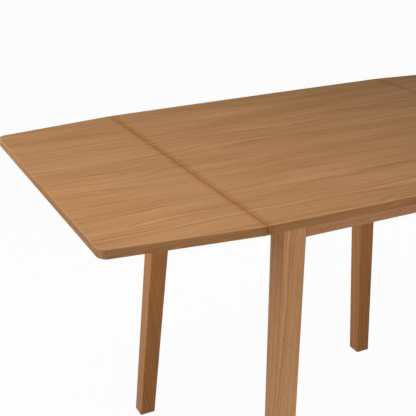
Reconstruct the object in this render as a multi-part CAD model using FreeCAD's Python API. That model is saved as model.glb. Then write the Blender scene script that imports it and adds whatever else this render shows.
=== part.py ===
"""Drop leaf table: a square oak table whose two end leaves hang on back-flap hinges
and are carried, when raised, on bars that pull out of the frame.

Millimetres. The origin is on the floor under the middle of the top, +Z is up,
X runs along the leaves and Y runs across, parallel to the hinge lines.
Left is -X, right is +X, front is -Y and back is +Y.
"""

import FreeCAD, Part
import math
import os

V = FreeCAD.Vector

# Overall sizes
table_height = 750.0
centre_length = 700.0  # between the two hinge lines
centre_width = 700.0  # at the hinge lines
edge_bow = 2.2  # how far the long edges bulge at the middle
leaf_length = 253.0
leaf_taper = 34.0  # how far each long edge of a leaf comes in by its outer end
leaf_corner_radius = 17.5

# Boards
top_thickness = 16.0
leaf_gap = 1.5  # open joint between the centre and a leaf
board_arris = 1.6
joint_arris = 0.8

# Legs: square, tapered and splayed outwards both ways
leg_top = 43.5
leg_foot = 36.5
leg_setback_top = 69.0  # from the edge of the top to the leg's outer face
leg_setback_foot = 13.5
leg_arris = 1.8

# Frame under the top
apron_height = 49.5
apron_thickness = 18.0
apron_arris = 1.5
bearer_thickness = 20.0
bearer_lift = 9.0  # how far a bearer stops above the aprons' lower edges
dowel_radius = 4.0
dowel_length = 30.0
dowel_from_edge = 13.0  # from an apron's upper or lower edge to the middle of a dowel
bearer_dowels_apart = 14.5  # between the middles of the two dowels in a bearer's end

# Corner blocks, each drawn up to its leg by one hanger bolt
block_margin = 7.0  # apron left bare above and below a block
block_leg_clearance = 1.0
block_wing = 58.0  # how far a block runs along each apron past the leg
bolt_radius = 3.9
bolt_hole_clearance = 0.3
bolt_in_leg = 34.0
bolt_spare = 5.0  # thread showing past the nut
washer_radius = 10.0
washer_thickness = 2.0
nut_across_flats = 13.0
nut_height = 6.5

# Bars that slide out to carry a leaf
bar_width = 30.0
bar_height = 24.0
bar_proud = 22.0  # how far a closed bar stands out of the end apron
bar_travel = 200.0
bar_clearance = 0.5
bar_arris = 1.5
bars_apart = 27.0  # between a left bar and the right bar beside it
bar_block_gap = 3.0
bearer_block_gap = 7.0
bar_tail = 10.0  # wood left behind the stop peg
grip_radius = 7.0
grip_from_end = 11.0
stop_radius = 5.0
stop_drop = 10.0
stop_clearance = 1.0

# Back-flap hinges, three to a leaf
hinge_length = 60.0
hinge_from_edge = 79.0  # from the long edge to the middle of an outer hinge
plate_width = 33.0
plate_thickness = 2.0
knuckle_radius = 3.2
knuckle_count = 5
knuckle_gap = 0.4
knuckle_clearance = 0.3
pin_radius = 1.6
pin_running_clearance = 0.05
pin_head_radius = 2.6
pin_head_height = 1.0
tab_bite = 1.0  # how far short of the pin a knuckle's tab ends
hinge_screw_spread = 0.36  # of the hinge's length, from its middle screw to an outer one
hinge_screw_insets = (0.7, 0.42, 0.7)  # how far out each screw stands, as a share of the plate

# Screws: shank radius, head radius, length
plate_screw = (1.9, 3.7, 15.0)
bracket_screw = (1.9, 3.7, 14.0)
block_screw = (2.0, 4.2, 28.0)
block_screw_share = 0.55  # where it stands along a block's wing
bearer_screw_bite = 11.0  # how far it enters the top
bearer_screw_sink = 6.0
block_screw_sink = 7.0
head_slope = 0.62  # depth of a countersunk head as a share of its radius
well_clearance = 0.4  # between a sunk head and the wall of its counterbore
well_reach = 8.0  # how far a counterbore's cutter stands out of the wood
recess_depth = 1.1
recess_width = 0.9
recess_span = 1.15  # length of the cross recess as a share of the head's radius

# Angle brackets that hold the top down
bracket_leg = 22.0
bracket_width = 18.0
bracket_thickness = 2.0
bracket_hole_from_heel = 13.0
bracket_from_bearer = 70.0
end_bracket_share = 0.58475  # where it stands along an end apron, on the way from the middle to a bar

# Glides under the feet
glide_radius = 13.0
glide_height = 4.0
glide_arris = 1.0
glide_nail_radius = 1.5
glide_nail_length = 16.0

under = table_height - top_thickness
half_length = centre_length / 2
half_width = centre_width / 2
leaf_end = half_length + leaf_length
leaf_end_width = centre_width - 2 * leaf_taper
frame_x = half_length - leg_setback_top
frame_y = half_width - leg_setback_top
apron_inner_x = frame_x - apron_thickness
apron_inner_y = frame_y - apron_thickness
apron_middle = under - apron_height / 2
block_height = apron_height - 2 * block_margin
block_x = frame_x - leg_top - block_leg_clearance
block_y = frame_y - leg_top - block_leg_clearance
bearer_height = apron_height - bearer_lift
bearer_outer = block_x - block_wing - bearer_block_gap
bearer_inner = bearer_outer - bearer_thickness
bearer_middle = (bearer_outer + bearer_inner) / 2
bearer_screw = (2.2, 4.4, bearer_height - bearer_screw_sink + bearer_screw_bite)
bar_top = under - bar_clearance
bar_bottom = bar_top - bar_height
bar_far = block_y - block_wing - bar_block_gap - bar_width / 2
bar_near = bar_far - bar_width - bars_apart
end_bracket_y = (bar_near - bar_width / 2) * end_bracket_share
apron_dowels_apart = apron_height - 2 * dowel_from_edge
bar_outer_end = frame_x + bar_proud
stop_middle = bearer_inner - stop_clearance - bar_travel - stop_radius
bar_inner_end = stop_middle - stop_radius - bar_tail
notch_floor = bar_bottom - bar_clearance
hinge_across = half_width - hinge_from_edge
axis_z = under - knuckle_radius - knuckle_clearance


def write(name, solids):
    """One STEP file for a node, holding one solid or a group of alike solids."""
    shape = solids[0] if len(solids) == 1 else Part.makeCompound(solids)
    shape.exportStep("parts/" + name + ".step")
    volume = sum(s.Volume for s in solids)
    print(name, len(solids), "solid(s)", round(volume / 1000, 2), "cm3")


def box(x, y, z):
    """A box from three (low, high) pairs."""
    return Part.makeBox(x[1] - x[0], y[1] - y[0], z[1] - z[0], V(x[0], y[0], z[0]))


def rod(start, direction, radius, length):
    return Part.makeCylinder(radius, length, start, direction)


def cut_each(shape, tools):
    """Cut the tools away one after another."""
    for tool in tools:
        shape = shape.cut(tool)
    return shape


def fillet_where(shape, radius, wanted):
    """Round every edge whose two end points satisfy wanted(start, end)."""
    edges = [e for e in shape.Edges if wanted(e.Vertexes[0].Point, e.Vertexes[-1].Point)]
    return shape.makeFillet(radius, edges)


def level(height):
    """A test for edges that lie flat at one height."""
    return lambda a, b: abs(a.z - height) < 0.01 and abs(b.z - height) < 0.01


def taper(low, high):
    """A flat-faced solid between two level rectangles, each ((x0, x1), (y0, y1), z)."""
    bottom, top = [], []
    for ring, (x, y, z) in ((bottom, low), (top, high)):
        ring += [V(x[0], y[0], z), V(x[1], y[0], z), V(x[1], y[1], z), V(x[0], y[1], z)]
    rings = [bottom[::-1], top]
    for k in range(4):
        n = (k + 1) % 4
        rings.append([bottom[k], bottom[n], top[n], top[k]])
    faces = [Part.Face(Part.makePolygon(ring + ring[:1])) for ring in rings]
    return Part.makeSolid(Part.makeShell(faces))


def span(side, near, far):
    """The (low, high) pair between two distances on one side of the middle."""
    return tuple(sorted((side * near, side * far)))


# Fasteners


def screw(head, direction, sizes):
    """A countersunk wood screw, and the plain form that it fills.

    head is the centre of the flat top of its head, direction points into the wood.
    """
    shank, wide, length = sizes
    drop = wide * head_slope
    tip = shank * 2
    outline = [
        V(0, 0, 0),
        V(wide, 0, 0),
        V(shank, 0, drop),
        V(shank, 0, length - tip),
        V(0, 0, length),
    ]
    face = Part.Face(Part.makePolygon(outline + outline[:1]))
    form = face.revolve(V(0, 0, 0), V(0, 0, 1), 360)
    reach = wide * recess_span / 2
    slot = box((-reach, reach), (-recess_width / 2, recess_width / 2), (-1, recess_depth))
    cross = slot.fuse(box((-recess_width / 2, recess_width / 2), (-reach, reach), (-1, recess_depth)))
    made = form.cut(cross)
    turn = FreeCAD.Rotation(V(0, 0, 1), direction)
    place = FreeCAD.Placement(head, turn)
    form.Placement = place
    made.Placement = place
    return made, form


def sunk_screw(head, direction, sizes, depth):
    """A screw whose head lies at the bottom of a counterbore of the given depth."""
    made, form = screw(head + direction * depth, direction, sizes)
    well = rod(head - direction * well_reach, direction, sizes[1] + well_clearance, depth + well_reach)
    return made, form.fuse(well)


def dowels(middle, direction, apart):
    """A pair of dowels, one above the other, half in a rail's end and half in its neighbour."""
    start = middle - direction * (dowel_length / 2)
    lift = V(0, 0, apart / 2)
    return [rod(start + lift * k, direction, dowel_radius, dowel_length) for k in (-1, 1)]


# Legs, aprons and what joins them


def leg_outer(setting, z):
    """The distance of a leg's outer face from the middle at one height."""
    lean = (leg_setback_top - leg_setback_foot) / under
    return setting + lean * (under - z)


def leg_inner(setting, z):
    narrowing = (leg_top - leg_foot) / under
    return leg_outer(setting, z) - leg_top + narrowing * (under - z)


def make_leg(side, end):
    ends = []
    for z in (glide_height, under):
        x = span(side, leg_inner(frame_x, z), leg_outer(frame_x, z))
        y = span(end, leg_inner(frame_y, z), leg_outer(frame_y, z))
        ends.append((x, y, z))
    leg = taper(*ends)
    leg = fillet_where(leg, leg_arris, lambda a, b: abs(a.z - b.z) > 1)
    return leg


def make_long_apron(end):
    """A front or back apron: its outer face follows the legs' lean."""
    ends = []
    for z in (under - apron_height, under):
        reach = leg_inner(frame_x, z)
        y = span(end, apron_inner_y, leg_outer(frame_y, z))
        ends.append(((-reach, reach), y, z))
    apron = taper(*ends)
    low = level(under - apron_height)
    return fillet_where(apron, apron_arris, lambda a, b: low(a, b) and abs(a.y - b.y) < 0.01)


def make_end_apron(side):
    """A left or right apron, with a notch for each of its bars."""
    ends = []
    for z in (under - apron_height, under):
        reach = leg_inner(frame_y, z)
        x = span(side, apron_inner_x, leg_outer(frame_x, z))
        ends.append((x, (-reach, reach), z))
    apron = taper(*ends)
    low = level(under - apron_height)
    apron = fillet_where(apron, apron_arris, lambda a, b: low(a, b) and abs(a.x - b.x) < 0.01)
    outside = leg_outer(frame_x, notch_floor) + 1
    return cut_each(apron, bar_notches(side, apron_inner_x - 1, outside))


def make_bearer(side):
    """A cross rail between the long aprons, which carries the inner ends of the bars."""
    across = (-apron_inner_y, apron_inner_y)
    rail = box(span(side, bearer_inner, bearer_outer), across, (under - bearer_height, under))
    return cut_each(rail, bar_notches(side, bearer_inner - 1, bearer_outer + 1))


def make_corner_block(side, end):
    """A five-sided block that fills the corner behind a leg."""
    plan = [
        (apron_inner_x, block_y),
        (block_x, block_y),
        (block_x, apron_inner_y),
        (block_x - block_wing, apron_inner_y),
        (apron_inner_x, block_y - block_wing),
    ]
    low = apron_middle - block_height / 2
    points = [V(side * x, end * y, low) for x, y in plan]
    face = Part.Face(Part.makePolygon(points + points[:1]))
    return face.extrude(V(0, 0, block_height))


def corner_line(side, end):
    """Where the bolt's line leaves a block's slanting face, its way in, and the way's length.

    The line is square to the slanting face and meets the leg's inner corner.
    """
    first = V(block_x - block_wing, apron_inner_y, 0)
    along = V(apron_inner_x, block_y - block_wing, 0) - first
    into = V(-along.y, along.x, 0).normalize()
    corner = V(block_x, block_y, 0)
    distance = (corner - first).dot(into)
    start = corner - into * distance
    point = V(side * start.x, end * start.y, apron_middle)
    return point, V(side * into.x, end * into.y, 0), distance


def hanger_bolt(side, end):
    """The bolt, its washer, its nut, the hole in the block and the hole in the leg."""
    face, into, depth = corner_line(side, end)
    to_leg = depth + block_leg_clearance * math.sqrt(2)
    tail = washer_thickness + nut_height + bolt_spare
    start = face - into * tail
    bolt = rod(start, into, bolt_radius, tail + to_leg + bolt_in_leg)
    hole = rod(start, into, bolt_radius + bolt_hole_clearance, tail + depth + 2 * bolt_radius)
    washer = rod(face - into * washer_thickness, into, washer_radius, washer_thickness)
    washer = washer.cut(bolt)
    flat = nut_across_flats / 2
    turn = FreeCAD.Placement(face - into * washer_thickness, FreeCAD.Rotation(V(0, 0, 1), into * -1))
    corners = []
    for k in range(6):
        angle = math.radians(60 * k)
        across = flat / math.cos(math.radians(30))
        corners.append(V(across * math.cos(angle), across * math.sin(angle), 0))
    nut = Part.Face(Part.makePolygon(corners + corners[:1])).extrude(V(0, 0, nut_height))
    nut.Placement = turn
    nut = nut.cut(bolt)
    return bolt, washer, nut, hole


def make_glide(side, end):
    """A round glide with its nail, under the middle of a foot."""
    x = side * (leg_outer(frame_x, 0) + leg_inner(frame_x, 0)) / 2
    y = end * (leg_outer(frame_y, 0) + leg_inner(frame_y, 0)) / 2
    disc = rod(V(x, y, 0), V(0, 0, 1), glide_radius, glide_height)
    disc = fillet_where(disc, glide_arris, level(0))
    nail = rod(V(x, y, glide_height), V(0, 0, 1), glide_nail_radius, glide_nail_length)
    return disc.fuse(nail), nail


# Sliding bars


def bar_places(side):
    """Where one end's two bars lie, so that left and right bars pass side by side."""
    if side < 0:
        return {"front": -bar_far, "back": bar_near}
    return {"front": -bar_near, "back": bar_far}


def bar_notches(side, inside, outside):
    """Openings, square to a bar's run, in the top edge of a rail between two distances."""
    tools = []
    for across in bar_places(side).values():
        y = (across - bar_width / 2 - bar_clearance, across + bar_width / 2 + bar_clearance)
        tools.append(box(span(side, inside, outside), y, (notch_floor, under + 1)))
    return tools


def make_bar(side, across):
    """One bar, closed, with its stop peg; the peg meets the bearer when the bar is out."""
    y = (across - bar_width / 2, across + bar_width / 2)
    bar = box(span(side, bar_inner_end, bar_outer_end), y, (bar_bottom, bar_top))
    end_x = side * bar_outer_end
    bar = fillet_where(bar, bar_arris, lambda a, b: abs(a.x - end_x) + abs(b.x - end_x) < 0.01)
    grip_x = side * (bar_outer_end - grip_from_end)
    grip = rod(V(grip_x, y[0] - 1, bar_bottom), V(0, 1, 0), grip_radius, bar_width + 2)
    peg_foot = V(side * stop_middle, across, bar_bottom - stop_drop)
    peg = rod(peg_foot, V(0, 0, 1), stop_radius, bar_height + stop_drop)
    return cut_each(bar, [grip, peg]), peg


# Hinges


def make_hinge(side, across):
    """The fixed plate, the moving plate, the pin and the screws of one back-flap hinge."""
    pitch = hinge_length / knuckle_count
    start = across - hinge_length / 2
    x = side * half_length
    along = V(0, 1, 0)
    relief = knuckle_radius + knuckle_clearance * 2
    plate_z = (under - plate_thickness, under)
    whole = (start, start + hinge_length)
    fixed = box(span(side, half_length - plate_width, half_length - relief), whole, plate_z)
    moving = box(span(side, half_length + relief, half_length + plate_width), whole, plate_z)
    for k in range(knuckle_count):
        y = (start + k * pitch + knuckle_gap / 2, start + (k + 1) * pitch - knuckle_gap / 2)
        knuckle = rod(V(x, y[0], axis_z), along, knuckle_radius, y[1] - y[0])
        if k % 2 == 0:
            tab = box(span(side, half_length - relief, half_length - tab_bite), y, plate_z)
            fixed = fixed.fuse([tab, knuckle])
        else:
            tab = box(span(side, half_length + tab_bite, half_length + relief), y, plate_z)
            moving = moving.fuse([tab, knuckle])
    inside = knuckle_gap / 2
    shank = rod(V(x, start + inside, axis_z), along, pin_radius, hinge_length - 2 * inside)
    heads = [
        rod(V(x, start + inside - pin_head_height, axis_z), along, pin_head_radius, pin_head_height),
        rod(V(x, start + hinge_length - inside, axis_z), along, pin_head_radius, pin_head_height),
    ]
    pin = shank.fuse(heads)
    bore = rod(V(x, start - 1, axis_z), along, pin_radius + pin_running_clearance, hinge_length + 2)
    fixed = fixed.cut(shank)
    moving = moving.cut(bore)
    screws = {"fixed": [], "moving": []}
    for k, inset in enumerate(hinge_screw_insets):
        y = across + (k - 1) * hinge_length * hinge_screw_spread
        reach = relief + (plate_width - relief) * inset
        for name, sign in (("fixed", -1), ("moving", 1)):
            head = V(side * (half_length + sign * reach), y, under - plate_thickness)
            screws[name].append(screw(head, V(0, 0, 1), plate_screw))
    fixed = cut_each(fixed, [form for made, form in screws["fixed"]])
    moving = cut_each(moving, [form for made, form in screws["moving"]])
    return fixed.removeSplitter(), moving.removeSplitter(), pin.removeSplitter(), screws


# Boards


def make_centre_top():
    edge = half_length - leaf_gap / 2
    bow = half_width + edge_bow
    sides = []
    for end in (-1, 1):
        points = V(-edge, end * half_width, under), V(0, end * bow, under), V(edge, end * half_width, under)
        sides.append(Part.Arc(*points).toShape())
    for side in (-1, 1):
        points = V(side * edge, -half_width, under), V(side * edge, half_width, under)
        sides.append(Part.makeLine(*points))
    face = Part.Face(Part.Wire(Part.__sortEdges__(sides)))
    return face.extrude(V(0, 0, top_thickness))


def make_leaf(side):
    edge = half_length + leaf_gap / 2
    radius = leaf_corner_radius
    run = V(leaf_end - edge, leaf_end_width / 2 - half_width, 0)
    slant = math.atan2(-run.y, run.x)
    # the rounded corner turns by a right angle less the slant
    reach = radius * math.tan((math.pi / 2 - slant) / 2)
    back = run.normalize() * reach
    edges = []
    for end in (-1, 1):
        corner = V(side * leaf_end, end * leaf_end_width / 2, under)
        start = corner - V(side * back.x, end * back.y, 0)
        stop = corner - V(0, end * reach, 0)
        centre = stop - V(side * radius, 0, 0)
        middle = centre + (corner - centre).normalize() * radius
        edges.append(Part.Arc(start, middle, stop).toShape())
        edges.append(Part.makeLine(V(side * edge, end * half_width, under), start))
    for x, y in ((edge, half_width), (leaf_end, leaf_end_width / 2 - reach)):
        edges.append(Part.makeLine(V(side * x, -y, under), V(side * x, y, under)))
    face = Part.Face(Part.Wire(Part.__sortEdges__(edges)))
    return face.extrude(V(0, 0, top_thickness))


def along_joint(a, b):
    """A test for edges that run along a hinge line."""
    beside = all(abs(abs(p.x) - half_length) < leaf_gap + joint_arris for p in (a, b))
    return beside and a.x * b.x > 0


def soften(board):
    """Round a board's arrises, those at the hinge line first and least.

    These leave each outside face with rounded corners, so that the second step runs
    smoothly along its upper arris, down its corners and along its lower arris.
    """
    for height in (table_height, under):
        flat = level(height)
        board = fillet_where(board, joint_arris, lambda a, b: flat(a, b) and along_joint(a, b))
    upper = level(table_height)
    return fillet_where(board, board_arris, lambda a, b: upper(a, b) and not along_joint(a, b))


# Top fixings


def make_bracket(heel, inward):
    """An angle bracket on an apron's inner face, with its two screws.

    heel is the corner where the apron's inner face meets the underside of the top.
    """
    across = V(-inward.y, inward.x, 0) * (bracket_width / 2)
    down = V(0, 0, -1)
    t = bracket_thickness
    profile = [
        heel,
        heel + inward * bracket_leg,
        heel + inward * bracket_leg + down * t,
        heel + inward * t + down * t,
        heel + inward * t + down * bracket_leg,
        heel + down * bracket_leg,
    ]
    face = Part.Face(Part.makePolygon([p - across for p in profile + profile[:1]]))
    angle = face.extrude(across * 2)
    up_head = heel + inward * bracket_hole_from_heel + down * t
    out_head = heel + inward * t + down * bracket_hole_from_heel
    screws = [screw(up_head, V(0, 0, 1), bracket_screw), screw(out_head, inward * -1, bracket_screw)]
    return cut_each(angle, [form for made, form in screws]), screws


def bracket_places():
    """The heel and the inward direction of each angle bracket, two to an apron."""
    along = bearer_inner - bracket_from_bearer
    for k in (-1, 1):
        for end in (-1, 1):
            yield V(k * along, end * apron_inner_y, under), V(0, -end, 0)
            yield V(end * apron_inner_x, k * end_bracket_y, under), V(-end, 0, 0)


def main():
    os.makedirs("parts", exist_ok=True)
    sides = {"left": -1, "right": 1}
    ends = {"front": -1, "back": 1}
    top_cuts, leaf_cuts = [], {-1: [], 1: []}
    apron_cuts, end_apron_cuts = {-1: [], 1: []}, {-1: [], 1: []}
    bearer_cuts = {-1: [], 1: []}

    # Angle brackets
    brackets, bracket_screws = [], []
    for heel, inward in bracket_places():
        angle, screws = make_bracket(heel, inward)
        brackets.append(angle)
        bracket_screws += [made for made, form in screws]
        top_cuts.append(screws[0][1])
        if abs(inward.y) > 0.5:
            apron_cuts[-1 if heel.y < 0 else 1].append(screws[1][1])
        else:
            end_apron_cuts[-1 if heel.x < 0 else 1].append(screws[1][1])
    write("top_brackets", brackets)
    write("top_bracket_screws", bracket_screws)

    # Corner blocks, hanger bolts, legs and glides
    bolts, washers, nuts, block_screws, glides, frame_dowels = [], [], [], [], [], []
    for end_name, end in ends.items():
        for side_name, side in sides.items():
            bolt, washer, nut, hole = hanger_bolt(side, end)
            bolts.append(bolt)
            washers.append(washer)
            nuts.append(nut)
            block_cuts = [hole]
            start, into, depth = corner_line(side, end)
            for direction in (V(0, end, 0), V(side, 0, 0)):
                # where a line square to the apron leaves the slanting face
                if direction.x == 0:
                    x = side * (block_x - block_wing * block_screw_share)
                    y = start.y - (x - start.x) * into.x / into.y
                else:
                    y = end * (block_y - block_wing * block_screw_share)
                    x = start.x - (y - start.y) * into.y / into.x
                made, form = sunk_screw(V(x, y, start.z), direction, block_screw, block_screw_sink)
                block_screws.append(made)
                block_cuts.append(form)
                if direction.x == 0:
                    apron_cuts[end].append(form)
                else:
                    end_apron_cuts[side].append(form)
            block = cut_each(make_corner_block(side, end), block_cuts)
            write("corner_block_%s_%s" % (end_name, side_name), [block])

            leg_face_x = side * leg_inner(frame_x, apron_middle)
            leg_face_y = end * leg_inner(frame_y, apron_middle)
            apron_x = side * (apron_inner_x + apron_thickness / 2)
            apron_y = end * (apron_inner_y + apron_thickness / 2)
            joint_x = V(leg_face_x, apron_y, apron_middle)
            joint_y = V(apron_x, leg_face_y, apron_middle)
            pair_x = dowels(joint_x, V(1, 0, 0), apron_dowels_apart)
            pair_y = dowels(joint_y, V(0, 1, 0), apron_dowels_apart)
            apron_cuts[end] += pair_x
            end_apron_cuts[side] += pair_y
            frame_dowels += pair_x + pair_y

            glide, nail = make_glide(side, end)
            glides.append(glide)
            leg = cut_each(make_leg(side, end), pair_x + pair_y + [bolt, nail])
            write("leg_%s_%s" % (end_name, side_name), [leg])
    write("hanger_bolts", bolts)
    write("bolt_washers", washers)
    write("bolt_nuts", nuts)
    write("corner_block_screws", block_screws)
    write("foot_glides", glides)

    # Bearers, with dowels into the long aprons and screws up into the top
    bearer_screws = []
    for side in sides.values():
        x = side * bearer_middle
        middle = under - bearer_height / 2
        for end in ends.values():
            pair = dowels(V(x, end * apron_inner_y, middle), V(0, 1, 0), bearer_dowels_apart)
            bearer_cuts[side] += pair
            apron_cuts[end] += pair
            frame_dowels += pair
            head = V(x, end * bar_near / 3, under - bearer_height)
            made, form = sunk_screw(head, V(0, 0, 1), bearer_screw, bearer_screw_sink)
            bearer_screws.append(made)
            bearer_cuts[side].append(form)
            top_cuts.append(form)
    write("frame_dowels", frame_dowels)
    write("bearer_screws", bearer_screws)
    for name, side in sides.items():
        write("bearer_" + name, [cut_each(make_bearer(side), bearer_cuts[side])])
        write("end_apron_" + name, [cut_each(make_end_apron(side), end_apron_cuts[side])])
    for name, end in ends.items():
        write("apron_" + name, [cut_each(make_long_apron(end), apron_cuts[end])])

    # Sliding bars
    for side_name, side in sides.items():
        for end_name, across in bar_places(side).items():
            bar, peg = make_bar(side, across)
            write("bar_%s_%s" % (side_name, end_name), [bar])
            write("bar_stop_%s_%s" % (side_name, end_name), [peg])

    # Hinges
    for name, side in sides.items():
        fixed_plates, moving_plates, pins = [], [], []
        fixed_screws, moving_screws = [], []
        for across in (-hinge_across, 0, hinge_across):
            fixed, moving, pin, screws = make_hinge(side, across)
            fixed_plates.append(fixed)
            moving_plates.append(moving)
            pins.append(pin)
            fixed_screws += [made for made, form in screws["fixed"]]
            moving_screws += [made for made, form in screws["moving"]]
            top_cuts += [form for made, form in screws["fixed"]]
            leaf_cuts[side] += [form for made, form in screws["moving"]]
        write("hinge_fixed_plates_" + name, fixed_plates)
        write("hinge_leaf_plates_" + name, moving_plates)
        write("hinge_pins_" + name, pins)
        write("hinge_fixed_screws_" + name, fixed_screws)
        write("hinge_leaf_screws_" + name, moving_screws)

    # Boards
    write("centre_top", [cut_each(soften(make_centre_top()), top_cuts)])
    for name, side in sides.items():
        write("leaf_" + name, [cut_each(soften(make_leaf(side)), leaf_cuts[side])])


main()
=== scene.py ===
import math

import bpy
from mathutils import Matrix, Vector

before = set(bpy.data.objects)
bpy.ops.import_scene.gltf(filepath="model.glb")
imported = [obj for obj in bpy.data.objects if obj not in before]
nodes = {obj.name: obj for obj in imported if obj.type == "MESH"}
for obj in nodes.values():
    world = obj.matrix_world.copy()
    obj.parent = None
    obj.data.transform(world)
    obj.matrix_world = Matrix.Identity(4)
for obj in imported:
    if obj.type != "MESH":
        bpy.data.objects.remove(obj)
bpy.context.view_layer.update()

print("frame loaded:", len(nodes), "nodes")


# Small helpers for building node trees

def clearTree(tree):
    for node in list(tree.nodes):
        tree.nodes.remove(node)


def addNode(tree, kind, settings=None, **sockets):
    # adds a node, sets its properties, then fills or links its inputs by name
    node = tree.nodes.new(kind)
    for key, value in (settings or {}).items():
        setattr(node, key, value)
    for key, value in sockets.items():
        feed(tree, node.inputs[key.replace("_", " ")], value)
    return node


def feed(tree, socket, value):
    # a socket is linked, anything else is written as the default
    if isinstance(value, bpy.types.NodeSocket):
        tree.links.new(value, socket)
    elif hasattr(socket, "default_value"):
        socket.default_value = value


def maths(tree, operation, a, b=0.0, c=0.0, clamp=False):
    node = tree.nodes.new("ShaderNodeMath")
    node.operation = operation
    node.use_clamp = clamp
    for socket, value in zip(node.inputs, (a, b, c)):
        feed(tree, socket, value)
    return node.outputs[0]


def spread(tree, value, low, high, toLow=0.0, toHigh=1.0):
    # smoothly maps low..high onto toLow..toHigh
    node = tree.nodes.new("ShaderNodeMapRange")
    node.interpolation_type = "SMOOTHSTEP"
    for socket, given in zip(node.inputs, (value, low, high, toLow, toHigh)):
        feed(tree, socket, given)
    return node.outputs[0]


def mixColour(tree, share, a, b, blend="MIX"):
    node = tree.nodes.new("ShaderNodeMix")
    node.data_type = "RGBA"
    node.blend_type = blend
    feed(tree, node.inputs[0], share)
    feed(tree, node.inputs[6], a)
    feed(tree, node.inputs[7], b)
    return node.outputs[2]


def mixVector(tree, share, a, b):
    node = tree.nodes.new("ShaderNodeMix")
    node.data_type = "VECTOR"
    feed(tree, node.inputs[0], share)
    feed(tree, node.inputs[4], a)
    feed(tree, node.inputs[5], b)
    return node.outputs[1]


def stretchedNoise(tree, vector, size, detail=3.0, roughness=0.5):
    # noise whose features are size = (length, breadth, breadth) metres
    scale = tree.nodes.new("ShaderNodeVectorMath")
    scale.operation = "MULTIPLY"
    feed(tree, scale.inputs[0], vector)
    scale.inputs[1].default_value = [1.0 / s for s in size]
    noise = addNode(tree, "ShaderNodeTexNoise", None, Vector=scale.outputs[0],
                    Scale=1.0, Detail=detail, Roughness=roughness)
    return noise.outputs[0]


def lineNoise(tree, value, size, offset, detail):
    # noise that changes along one measure only, a feature every size metres
    noise = addNode(tree, "ShaderNodeTexNoise", {"noise_dimensions": "1D"},
                    W=maths(tree, "MULTIPLY_ADD", value, 1.0 / size, offset),
                    Scale=1.0, Detail=detail, Roughness=0.55)
    return noise.outputs[0]


def newGroup(name, inputs, outputs):
    # a shader node group: inputs are (name, kind, default), outputs (name, kind)
    tree = bpy.data.node_groups.new(name, "ShaderNodeTree")
    for label, kind, value in inputs:
        socket = tree.interface.new_socket(label, in_out="INPUT", socket_type="NodeSocket" + kind)
        if value is not None:
            socket.default_value = value
    for label, kind in outputs:
        tree.interface.new_socket(label, in_out="OUTPUT", socket_type="NodeSocket" + kind)
    return tree, tree.nodes.new("NodeGroupInput").outputs, tree.nodes.new("NodeGroupOutput").inputs


def useGroup(tree, group, **sockets):
    node = tree.nodes.new("ShaderNodeGroup")
    node.node_tree = group
    for key, value in sockets.items():
        feed(tree, node.inputs[key.replace("_", " ")], value)
    return node.outputs


# Effects that several materials share

oak = {
    "slant": 0.55,  # how far a step in z moves the rings, against one in y
    "flowSize": (0.26, 0.055, 0.055),
    "wobbleSize": (0.06, 0.012, 0.012),
    "wobble": 0.0035,
    "ringEvery": 0.0105,
    "lineEvery": 0.0031,
    "lineStart": 7.3,  # keeps the lines' noise apart from the rings'
    "bandSize": (0.30, 0.045, 0.045),
    "fadeSize": (0.075, 0.014, 0.014),
    "fade": (0.3, 0.7, 0.35, 1.5),  # the rings' strength rises from 0.35 to 1.5
    "poreSize": (0.012, 0.00045, 0.00045),
    "pore": (0.60, 0.72),
    "poreTone": (0.62, 0.52, 0.42, 1),
    "eyeCell": (0.30, 0.10),  # one eye to a cell this long and this wide
    "eyeSize": 0.13,  # as a share of its cell
    "rough": 0.44,
    "roughLines": 0.16,
    "roughPores": 0.12,
    "ringHeight": 0.4,
    "poreHeight": -0.9,
}


def scatteredEyes(tree, vector):
    # exp(-(distance / size)^2) times a random share, one eye to a cell
    scale = tree.nodes.new("ShaderNodeVectorMath")
    scale.operation = "MULTIPLY"
    feed(tree, scale.inputs[0], vector)
    cellLong, cellWide = oak["eyeCell"]
    scale.inputs[1].default_value = (1 / cellLong, 1 / cellWide, 1.0)
    cells = addNode(tree, "ShaderNodeTexVoronoi", {"voronoi_dimensions": "2D"},
                    Vector=scale.outputs[0], Scale=1.0)
    near = maths(tree, "DIVIDE", cells.outputs["Distance"], oak["eyeSize"])
    bell = maths(tree, "EXPONENT", maths(tree, "MULTIPLY", maths(tree, "MULTIPLY", near, near), -1.0))
    parts = tree.nodes.new("ShaderNodeSeparateXYZ")
    feed(tree, parts.inputs[0], cells.outputs["Color"])
    return maths(tree, "MULTIPLY", bell, parts.outputs[0])


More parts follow.
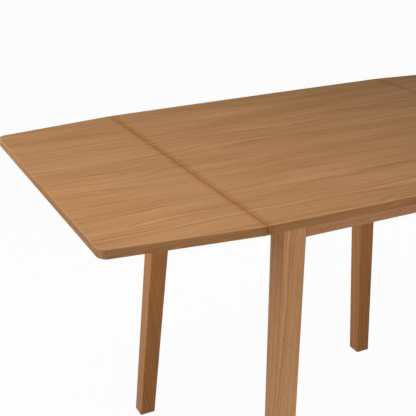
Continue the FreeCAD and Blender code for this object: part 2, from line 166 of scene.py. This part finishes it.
def makeOakGrain():
    # Oak whose grain runs along the vector's X.
    # across = y + 0.55 z + a slow flow and a small wobble, both noises stretched along the grain,
    # + eyes, a low swelling exp(-(distance / size)^2) about scattered points, which the rings go round
    # rings and lines = one-dimensional noises of across, so that they follow the flow
    # tone = 0.5 + bands + rings + lines; colour = mix(pale, deep, tone), darker in short thin pores
    tree, given, made = newGroup("oakGrain", (
        ("Vector", "Vector", None),
        ("Pale", "Color", (0.5, 0.25, 0.1, 1)),
        ("Deep", "Color", (0.3, 0.13, 0.05, 1)),
        ("Flow", "Float", 0.03),
        ("Eyes", "Float", 0.01),
        ("Bands", "Float", 0.3),
        ("Rings", "Float", 0.5),
        ("Lines", "Float", 0.3),
        ("Pores", "Float", 0.3),
    ), (("Color", "Color"), ("Roughness", "Float"), ("Height", "Float")))
    vector = given["Vector"]
    parts = tree.nodes.new("ShaderNodeSeparateXYZ")
    feed(tree, parts.inputs[0], vector)
    flow = maths(tree, "SUBTRACT", stretchedNoise(tree, vector, oak["flowSize"], 1.0), 0.5)
    wobble = maths(tree, "SUBTRACT", stretchedNoise(tree, vector, oak["wobbleSize"], 1.0), 0.5)
    across = maths(tree, "MULTIPLY_ADD", parts.outputs[2], oak["slant"], parts.outputs[1])
    across = maths(tree, "MULTIPLY_ADD", flow, given["Flow"], across)
    across = maths(tree, "MULTIPLY_ADD", wobble, oak["wobble"], across)
    across = maths(tree, "MULTIPLY_ADD", scatteredEyes(tree, vector), given["Eyes"], across)
    rings = lineNoise(tree, across, oak["ringEvery"], 0.0, 2.5)
    lines = lineNoise(tree, across, oak["lineEvery"], oak["lineStart"], 1.5)
    bands = stretchedNoise(tree, vector, oak["bandSize"], 3.0)
    fade = stretchedNoise(tree, vector, oak["fadeSize"], 1.0)
    pores = stretchedNoise(tree, vector, oak["poreSize"], 1.0)
    tone = maths(tree, "MULTIPLY_ADD", maths(tree, "SUBTRACT", bands, 0.5), given["Bands"], 0.5)
    strength = maths(tree, "MULTIPLY", spread(tree, fade, *oak["fade"]), given["Rings"])
    tone = maths(tree, "MULTIPLY_ADD", maths(tree, "SUBTRACT", rings, 0.5), strength, tone)
    tone = maths(tree, "MULTIPLY_ADD", maths(tree, "SUBTRACT", lines, 0.5), given["Lines"], tone, True)
    pit = spread(tree, pores, *oak["pore"])
    shade = mixColour(tree, tone, given["Pale"], given["Deep"])
    darker = mixColour(tree, 1.0, shade, oak["poreTone"], "MULTIPLY")
    feed(tree, made["Color"], mixColour(tree, maths(tree, "MULTIPLY", pit, given["Pores"]), shade, darker))
    rough = maths(tree, "MULTIPLY_ADD", lines, oak["roughLines"], oak["rough"])
    feed(tree, made["Roughness"], maths(tree, "MULTIPLY_ADD", pit, oak["roughPores"], rough))
    raised = maths(tree, "MULTIPLY_ADD", rings, oak["ringHeight"], lines)
    feed(tree, made["Height"], maths(tree, "MULTIPLY_ADD", pit, oak["poreHeight"], raised))
    return tree


arrisTurn = (0.03, 0.22)  # where the mask starts and where it is full


def makeArris():
    # 1 where a surface turns between two main directions: 1 - max(|nx|, |ny|, |nz|), smoothed
    tree, given, made = newGroup("arrisMask", (("Normal", "Vector", None),), (("Mask", "Float"),))
    parts = tree.nodes.new("ShaderNodeSeparateXYZ")
    feed(tree, parts.inputs[0], given["Normal"])
    sides = [maths(tree, "ABSOLUTE", s) for s in parts.outputs]
    most = maths(tree, "MAXIMUM", maths(tree, "MAXIMUM", sides[0], sides[1]), sides[2])
    feed(tree, made["Mask"], spread(tree, maths(tree, "SUBTRACT", 1.0, most), *arrisTurn))
    return tree


metal = {
    "markSize": (0.006, 0.0004, 0.0006),
    "cloudSize": (0.009, 0.009, 0.009),
    "cloud": (0.35, 0.7),
    "marks": 0.35,
    "clouds": 0.6,
    "rough": 0.24,
    "roughTone": 0.22,
    "wear": 0.3,
    "bump": 0.3,
    "bumpDepth": 0.00004,
}


def makeMetalGrain():
    # fine rolling marks and a cloudy plated skin
    tree, given, made = newGroup("metalGrain", (
        ("Vector", "Vector", None),
        ("Bright", "Color", (0.6, 0.6, 0.6, 1)),
        ("Dull", "Color", (0.4, 0.4, 0.4, 1)),
    ), (("Color", "Color"), ("Roughness", "Float"), ("Height", "Float")))
    marks = stretchedNoise(tree, given["Vector"], metal["markSize"], 3.0, 0.6)
    cloud = stretchedNoise(tree, given["Vector"], metal["cloudSize"], 3.0, 0.6)
    clouds = maths(tree, "MULTIPLY", spread(tree, cloud, *metal["cloud"]), metal["clouds"])
    tone = maths(tree, "MULTIPLY_ADD", marks, metal["marks"], clouds)
    feed(tree, made["Color"], mixColour(tree, tone, given["Bright"], given["Dull"]))
    feed(tree, made["Roughness"], maths(tree, "MULTIPLY_ADD", tone, metal["roughTone"], metal["rough"]))
    feed(tree, made["Height"], marks)
    return tree


oakGrain = makeOakGrain()
arrisMask = makeArris()
metalGrain = makeMetalGrain()
print("shared effects built")


def newMaterial(name):
    material = bpy.data.materials.new(name)
    material.use_nodes = True
    clearTree(material.node_tree)
    return material, material.node_tree


def finishMaterial(tree, shader):
    output = tree.nodes.new("ShaderNodeOutputMaterial")
    tree.links.new(shader.outputs[0], output.inputs[0])


# Wood

wood = {
    "bump": 0.35,
    "bumpDepth": 0.00012,
    "specular": 0.08,
    # paler wood on the arrises: partly wear, partly a painted highlight along them
    "wearAndHighlightPale": (0.60, 0.37, 0.20, 1),
    "wear": 0.20,
    "foldShadeTone": (0.84, 0.71, 0.56, 1),  # painted shade along each fold line, darkening the wood beside the joint
    "seamFull": 0.0025,
    "seamGone": 0.015,
    "seamStrength": 0.75,
    "edgeTone": (0.745, 0.72, 0.67, 1),  # a board's long edge strip against its face
    "endSheenTone": (1.0, 1.03, 1.14, 1),  # its end edge strip, painted paler and whiter than the face: a painted sheen
    "lacquerRoughness": 0.3,
    "endwise": 0.72,  # a face turned this far towards X is an end edge
    "faceTurn": (0.55, 0.8),  # a surface is edge below the first and face above the second
}

# turns the grain: the object's X, Y or Z becomes the vector's X
grainTurn = {
    "X": (0.0, 0.0, 0.0),
    "Y": (0.0, 0.0, math.radians(-90)),
    "Z": (0.0, math.radians(90), 0.0),
    "diagonal": (0.0, 0.0, math.radians(-45)),
    "crossDiagonal": (0.0, 0.0, math.radians(45)),
}

# how far out the centre board ends, which is where each leaf folds
foldPlace = max(corner[0] for corner in nodes["centre_top"].bound_box)


def turned(tree, vector, grain, shift):
    return addNode(tree, "ShaderNodeMapping", None, Vector=vector,
                   Location=shift, Rotation=grainTurn[grain]).outputs[0]


def makeWood(name, look):
    # look: pale, deep, grain, shift, flow, eyes, bands, rings, lines, pores, and banded for boards
    material, tree = newMaterial(name)
    place = tree.nodes.new("ShaderNodeTexCoord")
    vector = turned(tree, place.outputs["Object"], look["grain"], look["shift"])
    arris = useGroup(tree, arrisMask, Normal=place.outputs["Normal"])["Mask"]
    if look.get("banded"):
        where = tree.nodes.new("ShaderNodeSeparateXYZ")
        feed(tree, where.inputs[0], place.outputs["Object"])
        # the long edges carry a strip of darker wood; on an end edge the grain runs along the edge, and its
        # colour is a painted sheen, paler and whiter than the face
        parts = tree.nodes.new("ShaderNodeSeparateXYZ")
        feed(tree, parts.inputs[0], place.outputs["Normal"])
        endwise = maths(tree, "GREATER_THAN", maths(tree, "ABSOLUTE", parts.outputs[0]), wood["endwise"])
        strip = turned(tree, place.outputs["Object"], "Y", look["shift"])
        vector = mixVector(tree, endwise, vector, strip)
        tall = tree.nodes.new("ShaderNodeVectorMath")
        tall.operation = "MULTIPLY"
        feed(tree, tall.inputs[0], vector)
        tall.inputs[1].default_value = (1.0, 1.0, look["edgeLines"])
        vector = tall.outputs[0]
        flat = maths(tree, "ABSOLUTE", parts.outputs[2])
        edge = spread(tree, flat, *wood["faceTurn"], 1.0, 0.0)
    grain = useGroup(tree, oakGrain, Vector=vector, Pale=look["pale"], Deep=look["deep"],
                     Flow=look["flow"], Eyes=look["eyes"], Bands=look["bands"],
                     Rings=look["rings"], Lines=look["lines"], Pores=look["pores"])
    colour = grain["Color"]
    if look.get("banded"):
        outward = maths(tree, "ABSOLUTE", where.outputs[0])
        fold = maths(tree, "ABSOLUTE", maths(tree, "SUBTRACT", outward, foldPlace))
        # painted shade: the wood is darkened within a few millimetres of each fold line, widening the dark
        # line where the boards meet
        foldShade = spread(tree, fold, wood["seamFull"], wood["seamGone"], wood["seamStrength"], 0.0)
        colour = mixColour(tree, foldShade, colour, mixColour(tree, 1.0, colour, wood["foldShadeTone"], "MULTIPLY"))
        # long edges take the darker strip wood; end edges take a painted sheen, paler and whiter than the
        # face
        strips = mixColour(tree, endwise, wood["edgeTone"], wood["endSheenTone"])
        colour = mixColour(tree, edge, colour, mixColour(tree, 1.0, colour, strips, "MULTIPLY"))
    # the arrises are painted paler: partly wear, partly a painted highlight where light catches them
    worn = maths(tree, "MULTIPLY", arris, wood["wear"])
    colour = mixColour(tree, worn, colour, wood["wearAndHighlightPale"])
    bump = addNode(tree, "ShaderNodeBump", None, Strength=wood["bump"],
                   Distance=wood["bumpDepth"], Height=grain["Height"])
    shader = addNode(tree, "ShaderNodeBsdfPrincipled", None, Base_Color=colour,
                     Roughness=grain["Roughness"], Normal=bump.outputs[0],
                     Coat_Weight=maths(tree, "MULTIPLY", arris, look.get("lacquer", 0.0)))
    shader.inputs["Specular IOR Level"].default_value = look.get("specular", wood["specular"])
    shader.inputs["Coat Roughness"].default_value = wood["lacquerRoughness"]
    finishMaterial(tree, shader)
    return material


boardLook = {"pale": (0.595, 0.323, 0.155, 1), "deep": (0.344, 0.160, 0.061, 1), "grain": "X",
             "shift": (0.31, 0.0, 0.0), "flow": 0.05, "eyes": 0.022, "bands": 0.95, "rings": 0.85,
             "lines": 0.7, "pores": 0.5, "banded": True, "edgeLines": 3.0, "lacquer": 0.2,
             "specular": 0.004}
legLook = {"pale": (0.70, 0.392, 0.194, 1), "deep": (0.42, 0.204, 0.084, 1), "grain": "Z",
           "shift": (0.0, 0.0, 0.0), "flow": 0.012, "eyes": 0.004, "bands": 0.6, "rings": 0.75,
           "lines": 1.2, "pores": 1.0, "specular": 0.10}
# painted shade: the back legs get a redder, darker copy of the leg oak, for the warm shade under the top; the
# wood is the same as the front legs'
shadedBackLegLook = dict(legLook, specular=0.14,
                   pale=(0.65, 0.315, 0.125, 1), deep=(0.41, 0.170, 0.056, 1))
railLook = dict(legLook, grain="X", specular=0.08,
                pale=(0.560, 0.296, 0.161, 1), deep=(0.362, 0.168, 0.079, 1))
insideLook = {"pale": (0.60, 0.40, 0.22, 1), "deep": (0.46, 0.28, 0.14, 1), "grain": "X",
              "shift": (0.0, 0.0, 0.0), "flow": 0.03, "eyes": 0.012, "bands": 0.6, "rings": 0.9,
              "lines": 0.7, "pores": 0.3}

boardOak = makeWood("boardOak", boardLook)
frontLegOak = makeWood("frontLegOak", legLook)
shadedBackLegOak = makeWood("shadedBackLegOak", shadedBackLegLook)
longApronOak = makeWood("longApronOak", railLook)
endApronOak = makeWood("endApronOak", dict(railLook, grain="Y"))
barWood = makeWood("barWood", insideLook)
bearerWood = makeWood("bearerWood", dict(insideLook, grain="Y"))
blockWood = makeWood("blockWood", dict(insideLook, grain="diagonal"))
crossBlockWood = makeWood("crossBlockWood", dict(insideLook, grain="crossDiagonal"))
pegWood = makeWood("pegWood", dict(insideLook, grain="Z"))
dowelWood = makeWood("dowelWood", dict(insideLook, grain="Y"))
print("woods made")


# Metal and plastic

def makeMetal(name, look):
    material, tree = newMaterial(name)
    place = tree.nodes.new("ShaderNodeTexCoord")
    grain = useGroup(tree, metalGrain, Vector=place.outputs["Object"],
                     Bright=look["bright"], Dull=look["dull"])
    arris = useGroup(tree, arrisMask, Normal=place.outputs["Normal"])
    worn = maths(tree, "MULTIPLY", arris["Mask"], metal["wear"])
    colour = mixColour(tree, worn, grain["Color"], look["bright"])
    bump = addNode(tree, "ShaderNodeBump", None, Strength=metal["bump"],
                   Distance=metal["bumpDepth"], Height=grain["Height"])
    shader = addNode(tree, "ShaderNodeBsdfPrincipled", None, Base_Color=colour, Metallic=1.0,
                     Roughness=grain["Roughness"], Normal=bump.outputs[0])
    finishMaterial(tree, shader)
    return material


zincSteel = makeMetal("zincSteel", {"bright": (0.66, 0.67, 0.68, 1), "dull": (0.42, 0.43, 0.45, 1)})
hingeSteel = makeMetal("hingeSteel", {"bright": (0.38, 0.34, 0.26, 1), "dull": (0.24, 0.20, 0.15, 1)})


plastic = {
    "speckSize": (0.0006, 0.0006, 0.0006),
    "scuffSize": (0.006, 0.006, 0.006),
    "scuff": (0.5, 0.72),
    "scuffShare": 0.5,
    "rough": 0.48,
    "roughScuff": 0.15,
    "bump": 0.25,
    "bumpDepth": 0.00008,
}


def makePlastic(name, look):
    material, tree = newMaterial(name)
    place = tree.nodes.new("ShaderNodeTexCoord")
    speck = stretchedNoise(tree, place.outputs["Object"], plastic["speckSize"], 3.0, 0.7)
    scuff = stretchedNoise(tree, place.outputs["Object"], plastic["scuffSize"], 3.0, 0.6)
    worn = spread(tree, scuff, *plastic["scuff"])
    share = maths(tree, "MULTIPLY", worn, plastic["scuffShare"])
    colour = mixColour(tree, share, look["colour"], look["scuffed"])
    bump = addNode(tree, "ShaderNodeBump", None, Strength=plastic["bump"],
                   Distance=plastic["bumpDepth"], Height=speck)
    rough = maths(tree, "MULTIPLY_ADD", worn, plastic["roughScuff"], plastic["rough"])
    shader = addNode(tree, "ShaderNodeBsdfPrincipled", None, Base_Color=colour,
                     Roughness=rough, Normal=bump.outputs[0])
    finishMaterial(tree, shader)
    return material


glideLook = {"colour": (0.10, 0.062, 0.038, 1), "scuffed": (0.20, 0.14, 0.10, 1)}
glidePlastic = makePlastic("glidePlastic", glideLook)
print("metal and plastic made")


# Each node's finish, by the start of its name

finishes = (
    ("centre_top", boardOak), ("leaf_left", boardOak), ("leaf_right", boardOak),
    ("leg_front_", frontLegOak), ("leg_back_", shadedBackLegOak),
    ("apron_", longApronOak), ("end_apron_", endApronOak),
    ("bar_stop_", pegWood), ("bar_", barWood), ("bearer_screws", zincSteel), ("bearer_", bearerWood),
    ("corner_block_screws", zincSteel), ("corner_block_front_left", blockWood),
    ("corner_block_back_right", blockWood), ("corner_block_", crossBlockWood),
    ("frame_dowels", dowelWood), ("hinge_fixed_screws", zincSteel), ("hinge_leaf_screws", zincSteel),
    ("hinge_", hingeSteel), ("top_bracket", zincSteel), ("hanger_bolts", zincSteel),
    ("bolt_", zincSteel), ("foot_glides", glidePlastic),
)


def finishFor(name):
    return next(material for start, material in finishes if name.startswith(start))


for name, piece in nodes.items():
    piece.data.materials.clear()
    piece.data.materials.append(finishFor(name))
print("finishes given to", len(nodes), "nodes")


# Floor, world, light and camera

studio = {
    "floorSize": 40.0,
    "floorColour": (0.84, 0.76, 0.66, 1),
    "floorWhite": 0.97,  # how much of the floor the camera sees as plain white
    "worldFill": 0.03,
    "key": {"at": (-0.708, -0.275, 2.1), "towards": (-0.2, -0.1, 0.7), "size": 0.8, "watts": 16.4},
    "front": {"at": (-0.457, -1.733, 0.81), "towards": (-0.1, -0.3, 0.55), "size": 0.7, "watts": 11.0},
    "left": {"at": (-2.178, 0.793, 1.271), "towards": (0.0, 0.0, 0.65), "size": 1.3, "watts": 23.6},
    "behind": {"at": (1.889, 1.476, 0.676), "towards": (0.0, 0.0, 0.5), "size": 1.2, "watts": 6.0},
}

eye = {
    "at": (-0.9295, -1.3744, 1.2455),
    "yaw": 25.16,  # degrees to the right of straight at the front
    "pitch": 21.60,  # degrees down
    "roll": -1.20,
    "lens": 74.18,
    "sensor": 36.0,
    "nearest": 0.05,
    "farthest": 60.0,
}


def seenDirectly(tree):
    # 1 for camera, glossy and transmission rays, otherwise 0
    path = tree.nodes.new("ShaderNodeLightPath").outputs
    direct = maths(tree, "MAXIMUM", path["Is Camera Ray"], path["Is Glossy Ray"])
    return maths(tree, "MAXIMUM", direct, path["Is Transmission Ray"])


def makeFloor():
    half = studio["floorSize"] / 2
    mesh = bpy.data.meshes.new("floor")
    corners = [(-half, -half, 0), (half, -half, 0), (half, half, 0), (-half, half, 0)]
    mesh.from_pydata(corners, [], [(0, 1, 2, 3)])
    floor = bpy.data.objects.new("floor", mesh)
    bpy.context.scene.collection.objects.link(floor)
    material, tree = newMaterial("paleFloor")
    matt = addNode(tree, "ShaderNodeBsdfDiffuse", None, Color=studio["floorColour"])
    white = addNode(tree, "ShaderNodeEmission", None, Color=(1, 1, 1, 1), Strength=1.0)
    share = maths(tree, "MULTIPLY", seenDirectly(tree), studio["floorWhite"])
    blend = tree.nodes.new("ShaderNodeMixShader")
    feed(tree, blend.inputs[0], share)
    feed(tree, blend.inputs[1], matt.outputs[0])
    feed(tree, blend.inputs[2], white.outputs[0])
    finishMaterial(tree, blend)
    mesh.materials.append(material)


def makeWorld():
    world = bpy.data.worlds.new("studio")
    bpy.context.scene.world = world
    world.use_nodes = True
    tree = world.node_tree
    clearTree(tree)
    strength = maths(tree, "MULTIPLY_ADD", seenDirectly(tree), 1.0 - studio["worldFill"], studio["worldFill"])
    shine = addNode(tree, "ShaderNodeBackground", None, Color=(1, 1, 1, 1), Strength=strength)
    output = tree.nodes.new("ShaderNodeOutputWorld")
    tree.links.new(shine.outputs[0], output.inputs[0])


def makeLamp(name):
    look = studio[name]
    lamp = bpy.data.lights.new(name, "AREA")
    lamp.shape = "DISK"
    lamp.size = look["size"]
    lamp.energy = look["watts"]
    piece = bpy.data.objects.new(name, lamp)
    piece.location = look["at"]
    aim = Vector(look["towards"]) - Vector(look["at"])
    piece.rotation_euler = aim.to_track_quat("-Z", "Y").to_euler()
    piece.visible_camera = False
    bpy.context.scene.collection.objects.link(piece)


def makeCamera():
    # forward from yaw and pitch, then the picture turned by the roll
    yaw, pitch, roll = (math.radians(eye[k]) for k in ("yaw", "pitch", "roll"))
    forward = Vector((math.sin(yaw) * math.cos(pitch), math.cos(yaw) * math.cos(pitch), -math.sin(pitch)))
    right = Vector((math.cos(yaw), -math.sin(yaw), 0.0))
    up = right.cross(forward)
    across = right * math.cos(roll) + up * math.sin(roll)
    above = up * math.cos(roll) - right * math.sin(roll)
    camera = bpy.data.cameras.new("camera")
    camera.lens = eye["lens"]
    camera.sensor_width = eye["sensor"]
    camera.clip_start = eye["nearest"]
    camera.clip_end = eye["farthest"]
    holder = bpy.data.objects.new("camera", camera)
    turn = Matrix((across, above, -forward)).transposed().to_4x4()
    holder.matrix_world = Matrix.Translation(eye["at"]) @ turn
    bpy.context.scene.collection.objects.link(holder)
    bpy.context.scene.camera = holder


makeFloor()
makeWorld()
for lampName in ("key", "front", "left", "behind"):
    makeLamp(lampName)
makeCamera()
bpy.context.scene.view_settings.view_transform = "Standard"
print("studio ready")
